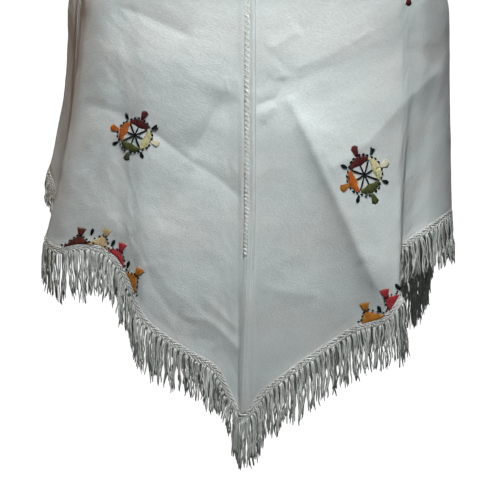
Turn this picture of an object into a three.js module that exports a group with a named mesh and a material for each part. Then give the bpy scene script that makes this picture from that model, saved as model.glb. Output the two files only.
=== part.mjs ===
import * as THREE from 'three';

// A V-hemmed shawl of two mitred strips of handwoven cloth, in the shape in which it hangs
// from the neck and shoulders of its wearer. Millimetres. +Z is up, the front faces -Y.
// The origin is the middle of the neck opening, level with the highest points of its edge.

// Cloth
const SHEET_THICK = 1.5;
const FIT_GAP = 0.3;
const HEM_GAP = 0.45;
const BODY_LEVEL = -215;

// Neck opening: half widths to either side, reach to the front and back, dip of the edge
const NECK_LEFT = 96;
const NECK_RIGHT = 104;
const NECK_FRONT = 88;
const NECK_BACK = 72;
const NECK_DIP_FRONT = 62;
const NECK_DIP_BACK = 25;

// Half widths of the body loop, used to place a section round the neck
const BODY_HALF_WIDTH = 282;
const BODY_HALF_DEPTH = 120;

// How much of the fall from the neck edge to the body level is an even slope
const SHOULDER_SLOPE = 0.15;

// Centre seams, edging and fringe
const SEAM_WIDTH = 12;
const SEAM_THICK = 2.4;
const SEAM_PROUD = 0.5;
const EDGING_WIDTH = 9.5;
const EDGING_THICK = 2.2;
const TIP_STRETCH = 1.35;
const TIP_DROP = 4;
const COMB_HEAD = 4;
const FRINGE_UNEVEN = 3;
const FRINGE_THICK = 3;
const TOOTH_TOP_SHARE = 0.76;
const TOOTH_END_SHARE = 0.5;

// The front seam stands a little to one side, and drifts to the other on its way down
const SEAM_ASIDE = 4;
const SEAM_DRIFT = 9;
const SEAM_DRIFT_FROM = -460;
const SEAM_DRIFT_OVER = 330;
const SEAM_DRIFT_REACH = 60;

// Facets
const COLUMNS = 56;
const ROWS = 11;
const SEAM_ROWS = 11;
const COLUMN_STEPS = 60;

// One row for each upright section of the right-hand panel, front seam to back seam.
// bodyX, bodyY: where it passes the body level. hemX, hemY, hemZ: its foot on the hem.
// late: 1 for a section that swings out evenly, more for a fold that opens lower down.
// fringe: how long the fringe is there.
const RIGHT_SECTIONS = [
  { at: 'front seam', bodyX: 6.3, bodyY: -125, hemX: 6.3, hemY: -138, hemZ: -770, late: 1, fringe: 60 },
  { at: 'by the seam', bodyX: 20, bodyY: -125, hemX: 18, hemY: -137, hemZ: -749, late: 1, fringe: 55 },
  { at: 'inner front', bodyX: 60, bodyY: -124, hemX: 58, hemY: -134, hemZ: -715, late: 1, fringe: 62 },
  { at: 'middle front', bodyX: 115, bodyY: -121, hemX: 113, hemY: -131, hemZ: -676, late: 1, fringe: 58 },
  { at: 'hollow', bodyX: 150, bodyY: -117, hemX: 146, hemY: -134, hemZ: -655, late: 1.2, fringe: 58 },
  { at: 'pleat rises', bodyX: 190, bodyY: -110, hemX: 182, hemY: -151, hemZ: -642, late: 1.9, fringe: 54 },
  { at: 'pleat crest', bodyX: 207, bodyY: -105, hemX: 198, hemY: -158, hemZ: -622, late: 2.3, fringe: 68 },
  { at: 'pleat turns', bodyX: 219, bodyY: -100, hemX: 205, hemY: -136, hemZ: -586, late: 2.4, fringe: 60 },
  { at: 'pleat valley', bodyX: 232, bodyY: -93, hemX: 203, hemY: -110, hemZ: -553, late: 2.4, fringe: 52 },
  { at: 'set back', bodyX: 249, bodyY: -84, hemX: 222, hemY: -99, hemZ: -538, late: 1.9, fringe: 46 },
  { at: 'outer front', bodyX: 271, bodyY: -62, hemX: 252, hemY: -93, hemZ: -518, late: 1.4, fringe: 52 },
  { at: 'arm front', bodyX: 289, bodyY: -34, hemX: 286, hemY: -61, hemZ: -497, late: 1.2, fringe: 56 },
  { at: 'arm side', bodyX: 297, bodyY: 8, hemX: 296, hemY: -4, hemZ: -497, late: 1, fringe: 56 },
  { at: 'arm back', bodyX: 291, bodyY: 44, hemX: 282, hemY: 40, hemZ: -505, late: 1, fringe: 40 },
  { at: 'back corner', bodyX: 272, bodyY: 72, hemX: 264, hemY: 82, hemZ: -580, late: 1, fringe: 66 },
  { at: 'outer back', bodyX: 222, bodyY: 97, hemX: 222, hemY: 106, hemZ: -611, late: 1, fringe: 66 },
  { at: 'inner back', bodyX: 120, bodyY: 110, hemX: 125, hemY: 120, hemZ: -671, late: 1, fringe: 60 },
  { at: 'back seam', bodyX: 6.3, bodyY: 112, hemX: 6.3, hemY: 122, hemZ: -748, late: 1, fringe: 60 },
];

// The same for the left-hand panel.
const LEFT_SECTIONS = [
  { at: 'front seam', bodyX: -6.3, bodyY: -125, hemX: -6.3, hemY: -134, hemZ: -768, late: 1, fringe: 56 },
  { at: 'by the seam', bodyX: -18, bodyY: -124, hemX: -16, hemY: -131, hemZ: -749, late: 1, fringe: 34 },
  { at: 'inner front', bodyX: -42, bodyY: -123, hemX: -38, hemY: -130, hemZ: -711, late: 1, fringe: 49 },
  { at: 'middle front', bodyX: -76, bodyY: -122, hemX: -72, hemY: -132, hemZ: -691, late: 1, fringe: 45 },
  { at: 'swell', bodyX: -112, bodyY: -119, hemX: -110, hemY: -134, hemZ: -667, late: 1.8, fringe: 58 },
  { at: 'swell turns', bodyX: -143, bodyY: -115, hemX: -140, hemY: -128, hemZ: -641, late: 2.2, fringe: 62 },
  { at: 'steep', bodyX: -162, bodyY: -111, hemX: -155, hemY: -117, hemZ: -607, late: 2.4, fringe: 59 },
  { at: 'hollow', bodyX: -178, bodyY: -107, hemX: -174, hemY: -109, hemZ: -570, late: 2.4, fringe: 57 },
  { at: 'lifted', bodyX: -198, bodyY: -101, hemX: -200, hemY: -107, hemZ: -548, late: 2.2, fringe: 50 },
  { at: 'lobe', bodyX: -215, bodyY: -91, hemX: -236, hemY: -100, hemZ: -545, late: 1.8, fringe: 64 },
  { at: 'lobe edge', bodyX: -226, bodyY: -80, hemX: -263, hemY: -88, hemZ: -548, late: 1.5, fringe: 60 },
  { at: 'corner', bodyX: -232, bodyY: -68, hemX: -282, hemY: -68, hemZ: -536, late: 1.5, fringe: 58 },
  { at: 'turned in', bodyX: -243, bodyY: -46, hemX: -272, hemY: -40, hemZ: -486, late: 1.8, fringe: 34 },
  { at: 'arm side', bodyX: -264, bodyY: 0, hemX: -292, hemY: 4, hemZ: -430, late: 2, fringe: 40 },
  { at: 'arm back', bodyX: -248, bodyY: 58, hemX: -262, hemY: 60, hemZ: -474, late: 1.4, fringe: 45 },
  { at: 'outer back', bodyX: -188, bodyY: 92, hemX: -200, hemY: 100, hemZ: -556, late: 1, fringe: 54 },
  { at: 'inner back', bodyX: -108, bodyY: 107, hemX: -112, hemY: 118, hemZ: -655, late: 1, fringe: 60 },
  { at: 'back seam', bodyX: -6.3, bodyY: 112, hemX: -6.3, hemY: 122, hemZ: -748, late: 1, fringe: 60 },
];

// One row for each long fold across the front: its two ends, how far it stands out, how
// rounded its crest is and how wide it falls away to its left and to its right.
const FRONT_FOLDS = [
  { at: 'right slant', x0: 54, z0: -330, x1: 181, z1: -618, high: 12, round: 3, left: 26, right: 90 },
  { at: 'left slant', x0: -30, z0: -318, x1: -112, z1: -520, high: -8, round: 3, left: 90, right: 34 },
];
const FOLD_FADE = 60;

const SIDES = [
  { name: 'left', sign: -1, neckHalf: NECK_LEFT, sections: LEFT_SECTIONS },
  { name: 'right', sign: 1, neckHalf: NECK_RIGHT, sections: RIGHT_SECTIONS },
];
const SECTION_SIZES = ['bodyX', 'bodyY', 'hemX', 'hemY', 'hemZ', 'late', 'fringe'];

// Smooth curve through the rows of a table: cubic pieces with the slope of the parabola
// through each row and its two neighbours.
function throughRows(places, values, place) {
  const last = places.length - 1;
  let i = 0;
  while (i < last - 1 && place > places[i + 1]) {
    i += 1;
  }
  const slopeAt = (k) => {
    const a = Math.min(Math.max(k, 1), last - 1);
    const before = (values[a] - values[a - 1]) / (places[a] - places[a - 1]);
    const after = (values[a + 1] - values[a]) / (places[a + 1] - places[a]);
    const share = (places[a] - places[a - 1]) / (places[a + 1] - places[a - 1]);
    const middle = before * (1 - share) + after * share;
    if (k < a) {
      return 2 * before - middle;
    }
    return k > a ? 2 * after - middle : middle;
  };
  const span = places[i + 1] - places[i];
  const t = (place - places[i]) / span;
  const t2 = t * t;
  const t3 = t2 * t;
  return (
    (2 * t3 - 3 * t2 + 1) * values[i] +
    (t3 - 2 * t2 + t) * span * slopeAt(i) +
    (3 * t2 - 2 * t3) * values[i + 1] +
    (t3 - t2) * span * slopeAt(i + 1)
  );
}

function smooth(share) {
  const t = Math.min(Math.max(share, 0), 1);
  return t * t * (3 - 2 * t);
}

// How far the cloth of the front stands out at a place in its upright plane.
function foldHeight(x, z) {
  let out = 0;
  for (const fold of FRONT_FOLDS) {
    const dx = fold.x1 - fold.x0;
    const dz = fold.z1 - fold.z0;
    const length = Math.hypot(dx, dz);
    const along = ((x - fold.x0) * dx + (z - fold.z0) * dz) / length;
    const across = ((x - fold.x0) * -dz + (z - fold.z0) * dx) / length;
    const wide = across < 0 ? fold.left : fold.right;
    const away = Math.hypot(across, fold.round) - fold.round;
    const fade = smooth(along / FOLD_FADE) * smooth((length - along) / FOLD_FADE + 0.5);
    out += fold.high * Math.exp(-away / wide) * fade;
  }
  return out;
}

// A panel's sections laid along its hem, with the hem's running length.
function layOut(side) {
  const rows = side.sections;
  const places = [0];
  for (let i = 1; i < rows.length; i += 1) {
    const step = Math.hypot(
      rows[i].hemX - rows[i - 1].hemX,
      rows[i].hemY - rows[i - 1].hemY,
      rows[i].hemZ - rows[i - 1].hemZ,
    );
    places.push(places[i - 1] + step);
  }
  const columns = {};
  for (const size of SECTION_SIZES) {
    columns[size] = rows.map((row) => row[size]);
  }
  return { side, places, columns, length: places[places.length - 1] };
}

// The upright section at a place along the hem: points from the neck edge down to the hem,
// over the shoulder or chest as a quarter of an oval, then down to the foot.
function section(panel, place) {
  const at = {};
  for (const size of SECTION_SIZES) {
    at[size] = throughRows(panel.places, panel.columns[size], place);
  }
  const seamEdge = SEAM_WIDTH / 2 + FIT_GAP;
  const fromSeam = Math.abs(at.bodyX) - seamEdge;
  const turn = Math.atan2(fromSeam / BODY_HALF_WIDTH, -at.bodyY / BODY_HALF_DEPTH);
  const front = Math.cos(turn) > 0;
  const reach = front ? NECK_FRONT : NECK_BACK;
  const dip = front ? NECK_DIP_FRONT : NECK_DIP_BACK;
  const neckX = panel.side.sign * (seamEdge + (panel.side.neckHalf - seamEdge) * Math.sin(turn));
  const neckY = -reach * Math.cos(turn);
  const neckZ = -dip * Math.cos(turn) ** 2;
  const points = [];
  for (let k = 0; k <= COLUMN_STEPS; k += 1) {
    const w = k / COLUMN_STEPS;
    const outward = Math.sin((w * Math.PI) / 2);
    const round = 1 - Math.cos((w * Math.PI) / 2);
    const fall = SHOULDER_SLOPE * outward + (1 - SHOULDER_SLOPE) * round;
    points.push(
      new THREE.Vector3(
        neckX + (at.bodyX - neckX) * outward,
        neckY + (at.bodyY - neckY) * outward,
        neckZ + (BODY_LEVEL - neckZ) * fall,
      ),
    );
  }
  for (let k = 1; k <= COLUMN_STEPS; k += 1) {
    const w = k / COLUMN_STEPS;
    const swing = w ** at.late;
    points.push(
      new THREE.Vector3(
        at.bodyX + (at.hemX - at.bodyX) * swing,
        at.bodyY + (at.hemY - at.bodyY) * swing,
        BODY_LEVEL + (at.hemZ - BODY_LEVEL) * w,
      ),
    );
  }
  const run = [0];
  for (let k = 1; k < points.length; k += 1) {
    run.push(run[k - 1] + points[k].distanceTo(points[k - 1]));
  }
  return { points, run };
}

// The middle of the cloth's thickness, `place` along the hem and `down` (0 neck, 1 hem).
function onCloth(panel, place, down) {
  const { points, run } = section(panel, place);
  const target = down * run[run.length - 1];
  let k = 1;
  while (k < run.length - 1 && run[k] < target) {
    k += 1;
  }
  const share = (target - run[k - 1]) / (run[k] - run[k - 1]);
  const point = points[k - 1].clone().lerp(points[k], share);
  const fromSeam = Math.abs(point.x) - SEAM_WIDTH / 2 - FIT_GAP;
  const facing = smooth(-point.y / 60 - 0.5);
  const clearOfSeam = smooth(fromSeam / 25);
  point.y -= foldHeight(point.x, point.z) * facing * clearOfSeam;
  point.x += seamDrift(point.x, point.z) * facing;
  return point;
}

function seamDrift(x, z) {
  const share = smooth((SEAM_DRIFT_FROM - z) / SEAM_DRIFT_OVER);
  return (SEAM_ASIDE - SEAM_DRIFT * share) * Math.exp(-((x / SEAM_DRIFT_REACH) ** 2));
}

// The cloth's own directions at a point: along the hem, down the cloth, and outward.
function clothFrame(panel, place, down) {
  const step = 2;
  const near = Math.max(place - step, 0);
  const far = Math.min(place + step, panel.length);
  const upper = Math.max(down - 0.01, 0);
  const lower = Math.min(down + 0.01, 1);
  const along = onCloth(panel, far, down).sub(onCloth(panel, near, down)).normalize();
  const fall = onCloth(panel, place, lower).sub(onCloth(panel, place, upper)).normalize();
  const out = new THREE.Vector3().crossVectors(along, fall).normalize();
  out.multiplyScalar(-panel.side.sign);
  const square = fall.clone().addScaledVector(along, -fall.dot(along)).normalize();
  return { point: onCloth(panel, place, down), along, square, out };
}

// A closed body between two faces of matching points, rows by columns.
function closedBody(name, outer, inner, colour, roughness) {
  const rows = outer.length;
  const columns = outer[0].length;
  const corners = [];
  for (const face of [outer, inner]) {
    for (const row of face) {
      for (const point of row) {
        corners.push(point.x, point.y, point.z);
      }
    }
  }
  const o = (r, c) => r * columns + c;
  const i = (r, c) => (rows + r) * columns + c;
  const index = [];
  const quad = (a, b, c, d) => index.push(a, b, c, a, c, d);
  for (let r = 0; r < rows - 1; r += 1) {
    for (let c = 0; c < columns - 1; c += 1) {
      quad(o(r, c), o(r + 1, c), o(r + 1, c + 1), o(r, c + 1));
      quad(i(r, c), i(r, c + 1), i(r + 1, c + 1), i(r + 1, c));
    }
  }
  for (let c = 0; c < columns - 1; c += 1) {
    quad(o(0, c + 1), i(0, c + 1), i(0, c), o(0, c));
    quad(o(rows - 1, c + 1), o(rows - 1, c), i(rows - 1, c), i(rows - 1, c + 1));
  }
  for (let r = 0; r < rows - 1; r += 1) {
    quad(o(r + 1, 0), o(r, 0), i(r, 0), i(r + 1, 0));
    quad(o(r, columns - 1), o(r + 1, columns - 1), i(r + 1, columns - 1), i(r, columns - 1));
  }
  return solid(name, corners, index, colour, roughness);
}

// A mesh with its faces turned outward.
function solid(name, corners, index, colour, roughness) {
  let volume = 0;
  const at = (k) => new THREE.Vector3(corners[3 * k], corners[3 * k + 1], corners[3 * k + 2]);
  for (let k = 0; k < index.length; k += 3) {
    volume += at(index[k]).dot(at(index[k + 1]).cross(at(index[k + 2])));
  }
  if (volume < 0) {
    for (let k = 0; k < index.length; k += 3) {
      [index[k + 1], index[k + 2]] = [index[k + 2], index[k + 1]];
    }
  }
  const geometry = new THREE.BufferGeometry();
  geometry.setAttribute('position', new THREE.Float32BufferAttribute(corners, 3));
  geometry.setIndex(index);
  geometry.computeVertexNormals();
  const material = new THREE.MeshStandardMaterial({ color: colour, roughness });
  material.name = name;
  const mesh = new THREE.Mesh(geometry, material);
  mesh.name = name;
  return mesh;
}

const CLOTH = '#d5dbd6';
const THREAD = '#cfd1c6';
const FRINGE = '#aab1a6';

function makePanel(panel) {
  const outer = [];
  const inner = [];
  for (let r = 0; r <= ROWS; r += 1) {
    const outerRow = [];
    const innerRow = [];
    for (let c = 0; c <= COLUMNS; c += 1) {
      const { point, out } = clothFrame(panel, (panel.length * c) / COLUMNS, r / ROWS);
      if (c === 0 || c === COLUMNS) {
        out.set(0, Math.sign(point.y), 0);
      }
      outerRow.push(point.clone().addScaledVector(out, SHEET_THICK / 2));
      innerRow.push(point.clone().addScaledVector(out, -SHEET_THICK / 2));
    }
    outer.push(outerRow);
    inner.push(innerRow);
  }
  return closedBody(`panel_${panel.side.name}`, outer, inner, CLOTH, 0.95);
}

// The hem as stations for the edging and the fringe: those of the panel's columns. The
// right-hand side has one more at each end, where it passes below the seam.
function hemStations(panel) {
  const stations = [];
  for (let c = 0; c <= COLUMNS; c += 1) {
    const place = (panel.length * c) / COLUMNS;
    const { point, square, out } = clothFrame(panel, place, 1);
    const fringe = throughRows(panel.places, panel.columns.fringe, place);
    stations.push({ point, down: square, out, fringe });
  }
  const tips = [stations[0], stations[COLUMNS]].map((corner) => {
    corner.out.set(0, Math.sign(corner.point.y), 0);
    const down = new THREE.Vector3(0, 0, -TIP_STRETCH);
    if (panel.side.sign < 0) {
      corner.down.copy(down);
      return [];
    }
    corner.down.y = 0;
    corner.down.z -= 0.2;
    corner.down.normalize();
    const point = corner.point.clone();
    point.x -= SEAM_WIDTH + FIT_GAP;
    point.z -= TIP_DROP;
    return [{ point, down, out: corner.out.clone(), fringe: corner.fringe }];
  });
  return [...tips[0], ...stations, ...tips[1]];
}

function makeEdging(panel) {
  const faces = [1, -1].map((way) =>
    [HEM_GAP, HEM_GAP + EDGING_WIDTH].map((reach) =>
      hemStations(panel).map(({ point, down, out }) =>
        point
          .clone()
          .addScaledVector(down, reach)
          .addScaledVector(out, (way * EDGING_THICK) / 2),
      ),
    ),
  );
  return closedBody(`edging_${panel.side.name}`, faces[0], faces[1], THREAD, 0.9);
}

// The fringe as one comb: a head along the edging and a tooth hanging from each stretch.
function makeFringe(panel) {
  const top = 2 * HEM_GAP + EDGING_WIDTH;
  const stations = hemStations(panel);
  const corners = [];
  const index = [];
  const add = (point) => {
    corners.push(point.x, point.y, point.z);
    return corners.length / 3 - 1;
  };
  const pair = (point, out, thick) => [
    add(point.clone().addScaledVector(out, thick / 2)),
    add(point.clone().addScaledVector(out, -thick / 2)),
  ];
  const quad = (a, b, c, d) => index.push(a, b, c, a, c, d);
  const strip = (p, q) => quad(p[0], p[1], q[1], q[0]);
  const heads = stations.map(({ point, down, out, fringe }) => {
    const flat = new THREE.Vector3(out.x, out.y, 0).normalize();
    const upper = point.clone().addScaledVector(down, top);
    const lower = point.clone().addScaledVector(down, top + COMB_HEAD);
    const low = pair(lower, flat, FRINGE_THICK);
    return { flat, lower, fringe, up: pair(upper, out, EDGING_THICK), low };
  });
  const count = heads.length - 1;
  for (let k = 0; k < count; k += 1) {
    const a = heads[k];
    const b = heads[k + 1];
    const out = a.flat.clone().add(b.flat).normalize();
    const uneven = FRINGE_UNEVEN * Math.sin(2.4 * k + 0.7 * panel.side.sign);
    const length = (a.fringe + b.fringe) / 2 + uneven;
    const at = (share) => a.lower.clone().lerp(b.lower, share);
    const end = (share) => at(share).setZ((a.lower.z + b.lower.z) / 2 - length + COMB_HEAD);
    const inset = (1 - TOOTH_TOP_SHARE) / 2;
    const endInset = (1 - TOOTH_END_SHARE) / 2;
    const t0 = pair(at(inset), out, FRINGE_THICK);
    const t1 = pair(at(1 - inset), out, FRINGE_THICK);
    const e0 = pair(end(endInset), out, FRINGE_THICK * 0.6);
    const e1 = pair(end(1 - endInset), out, FRINGE_THICK * 0.6);
    for (const side of [0, 1]) {
      const face = (p, q, r) => (side ? index.push(p, r, q) : index.push(p, q, r));
      face(a.up[side], a.low[side], t0[side]);
      face(a.up[side], t0[side], t1[side]);
      face(a.up[side], t1[side], b.up[side]);
      face(b.up[side], t1[side], b.low[side]);
      face(t0[side], e0[side], e1[side]);
      face(t0[side], e1[side], t1[side]);
    }
    strip(b.up, a.up);
    strip(a.low, t0);
    strip(t0, e0);
    strip(e0, e1);
    strip(e1, t1);
    strip(t1, b.low);
  }
  strip(heads[0].up, heads[0].low);
  strip(heads[count].low, heads[count].up);
  return solid(`fringe_${panel.side.name}`, corners, index, FRINGE, 0.8);
}

// A centre seam: a flat raised strip along the right-hand panel's mitred end.
function makeSeam(name, right, place) {
  const outer = [];
  const inner = [];
  for (let r = 0; r <= SEAM_ROWS; r += 1) {
    const edge = onCloth(right, place, r / SEAM_ROWS);
    const way = Math.sign(edge.y);
    const across = [SEAM_WIDTH, SEAM_WIDTH / 2, 0].map((width) => {
      const point = edge.clone();
      point.x -= width + FIT_GAP;
      point.z -= r === SEAM_ROWS ? (TIP_DROP * width) / SEAM_WIDTH : 0;
      return point;
    });
    const face = (offset, crown) =>
      across.map((point, k) => {
        const moved = point.clone();
        moved.y += way * (offset + (k === 1 ? crown : 0));
        return moved;
      });
    outer.push(face(SHEET_THICK / 2 + SEAM_PROUD, SEAM_THICK - SHEET_THICK - SEAM_PROUD));
    inner.push(face(-SHEET_THICK / 2, 0));
  }
  return closedBody(name, outer, inner, THREAD, 0.9);
}

const shawl = new THREE.Group();
shawl.name = 'shawl';
const [left, right] = SIDES.map(layOut);
for (const panel of [left, right]) {
  shawl.add(makePanel(panel));
  shawl.add(makeEdging(panel));
  shawl.add(makeFringe(panel));
}
shawl.add(makeSeam('seam_front', right, 0));
shawl.add(makeSeam('seam_back', right, right.length));

export default shawl;
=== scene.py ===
"""The looks of a hanging handwoven shawl: two mitred strips of cloth, joined by centre seams,
with a plaited edging, a long thread fringe and small embroidered wheels.

Shapes are worked out in millimetres in the frame of the CAD model and become metres as each
mesh is made. +Z is up, the front faces -Y, and the origin is the middle of the neck opening.
"""

import functools
import math

import bpy
import numpy as np
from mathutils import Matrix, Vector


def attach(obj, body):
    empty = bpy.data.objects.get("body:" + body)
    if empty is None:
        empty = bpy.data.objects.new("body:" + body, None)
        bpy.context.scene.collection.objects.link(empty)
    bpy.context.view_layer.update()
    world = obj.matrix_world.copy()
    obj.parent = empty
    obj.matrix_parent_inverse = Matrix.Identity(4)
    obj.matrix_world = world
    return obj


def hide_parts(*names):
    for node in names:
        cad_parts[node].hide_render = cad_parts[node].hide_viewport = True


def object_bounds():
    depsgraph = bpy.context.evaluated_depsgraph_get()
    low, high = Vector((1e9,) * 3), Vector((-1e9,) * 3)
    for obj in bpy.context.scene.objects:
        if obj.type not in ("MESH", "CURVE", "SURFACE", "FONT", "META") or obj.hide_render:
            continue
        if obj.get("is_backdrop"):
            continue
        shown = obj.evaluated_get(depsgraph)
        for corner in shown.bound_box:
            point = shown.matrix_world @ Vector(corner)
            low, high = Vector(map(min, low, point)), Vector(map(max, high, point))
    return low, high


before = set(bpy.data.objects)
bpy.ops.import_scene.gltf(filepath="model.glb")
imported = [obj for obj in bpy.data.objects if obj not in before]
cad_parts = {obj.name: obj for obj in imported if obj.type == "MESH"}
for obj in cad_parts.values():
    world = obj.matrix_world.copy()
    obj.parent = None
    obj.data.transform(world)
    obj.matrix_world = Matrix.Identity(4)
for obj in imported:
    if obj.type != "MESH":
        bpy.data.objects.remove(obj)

CAD_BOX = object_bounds()
MM = 0.001


# ==== The shape of the cloth, in the CAD model's own sizes ====
SEAM_WIDTH = 12.0
FIT_GAP = 0.3  # between a seam and a panel
SEAM_EDGE = SEAM_WIDTH / 2 + FIT_GAP
HEM_GAP = 0.45  # between a panel and its edging
EDGING_WIDTH = 9.5
TIP_DROP = 4.0  # how much lower the left side of a seam's foot is
TIP_STRETCH = 1.35  # how much further the edging reaches down where it hangs plumb
BODY_LEVEL = -215.0  # the level at which the cloth leaves the shoulders
NECK_FRONT, NECK_BACK = 88.0, 72.0
NECK_DIP_FRONT, NECK_DIP_BACK = 62.0, 25.0
BODY_HALF_WIDTH, BODY_HALF_DEPTH = 282.0, 120.0
SHOULDER_SLOPE = 0.15
COLUMN_STEPS = 60  # of each half of a column, above and below the body level

# How far the front seam stands to one side above, by how much it comes back below, the
# level at which that begins, its length, and how wide the cloth goes with it
SEAM_ASIDE, SEAM_DRIFT = 4.0, 9.0
SEAM_DRIFT_FROM, SEAM_DRIFT_OVER, SEAM_DRIFT_REACH = -460.0, 330.0, 60.0

# One row for each upright section of a panel, from the front seam round to the back seam:
# where it passes the body level, its foot on the hem, how late it swings out, and how long
# the fringe is there.
BODY_X, BODY_Y, HEM_X, HEM_Y, HEM_Z, LATE, FRINGE = range(7)
RIGHT_SECTIONS = (
    (6.3, -125, 6.3, -138, -770, 1.0, 60),  # front seam
    (20, -125, 18, -137, -749, 1.0, 55),  # by the seam
    (60, -124, 58, -134, -715, 1.0, 62),  # inner front
    (115, -121, 113, -131, -676, 1.0, 58),  # middle front
    (150, -117, 146, -134, -655, 1.2, 58),  # hollow
    (190, -110, 182, -151, -642, 1.9, 54),  # pleat rises
    (207, -105, 198, -158, -622, 2.3, 68),  # pleat crest
    (219, -100, 205, -136, -586, 2.4, 60),  # pleat turns
    (232, -93, 203, -110, -553, 2.4, 52),  # pleat valley
    (249, -84, 222, -99, -538, 1.9, 46),  # set back
    (271, -62, 252, -93, -518, 1.4, 52),  # outer front
    (289, -34, 286, -61, -497, 1.2, 56),  # arm front
    (297, 8, 296, -4, -497, 1.0, 56),  # arm side
    (291, 44, 282, 40, -505, 1.0, 40),  # arm back
    (272, 72, 264, 82, -580, 1.0, 66),  # back corner
    (222, 97, 222, 106, -611, 1.0, 66),  # outer back
    (120, 110, 125, 120, -671, 1.0, 60),  # inner back
    (6.3, 112, 6.3, 122, -748, 1.0, 60),  # back seam
)
LEFT_SECTIONS = (
    (-6.3, -125, -6.3, -134, -768, 1.0, 56),  # front seam
    (-18, -124, -16, -131, -749, 1.0, 34),  # by the seam
    (-42, -123, -38, -130, -711, 1.0, 49),  # inner front
    (-76, -122, -72, -132, -691, 1.0, 45),  # middle front
    (-112, -119, -110, -134, -667, 1.8, 58),  # swell
    (-143, -115, -140, -128, -641, 2.2, 62),  # swell turns
    (-162, -111, -155, -117, -607, 2.4, 59),  # steep
    (-178, -107, -174, -109, -570, 2.4, 57),  # hollow
    (-198, -101, -200, -107, -548, 2.2, 50),  # lifted
    (-215, -91, -236, -100, -545, 1.8, 64),  # lobe
    (-226, -80, -263, -88, -548, 1.5, 60),  # lobe edge
    (-232, -68, -282, -68, -536, 1.5, 58),  # corner
    (-243, -46, -272, -40, -486, 1.8, 34),  # turned in
    (-264, 0, -292, 4, -430, 2.0, 40),  # arm side
    (-248, 58, -262, 60, -474, 1.4, 45),  # arm back
    (-188, 92, -200, 100, -556, 1.0, 54),  # outer back
    (-108, 107, -112, 118, -655, 1.0, 60),  # inner back
    (-6.3, 112, -6.3, 122, -748, 1.0, 60),  # back seam
)

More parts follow.
